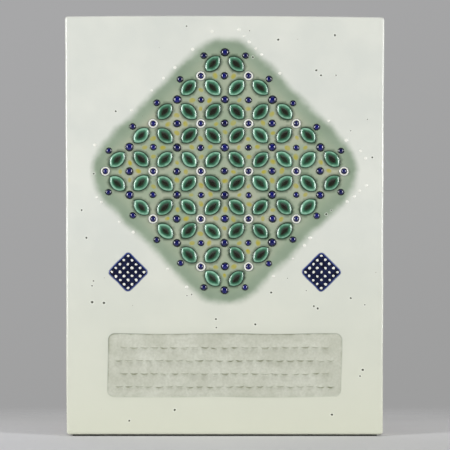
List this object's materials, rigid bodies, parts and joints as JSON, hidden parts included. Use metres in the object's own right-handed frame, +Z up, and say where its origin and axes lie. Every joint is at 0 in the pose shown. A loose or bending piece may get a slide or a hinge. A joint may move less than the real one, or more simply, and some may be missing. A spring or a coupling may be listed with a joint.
{
  "type": "wall plaque",
  "caption": "Upright rectangular stoneware wall plaque with rounded edges, a diamond trellis of dished leaves and studs, studded squares, a stamped panel and a hollow back.",
  "frame": {"origin": "middle of the top rim's back face, where the plaque bears on the wall", "axes": "+Z up the plaque, +X to the right seen from the front, -Y out of the decorated face, +Y into the wall"},
  "size_m": [0.3054, 0.0246, 0.4],
  "materials": {
    "pale_glaze": "glossy pale grey-green glaze with green, blue, yellow and white glazes pooled in the relief; bare clay on the back"
  },
  "bodies": {
    "root": {"plaque": "pale_glaze"}
  },
  "joints": []
}
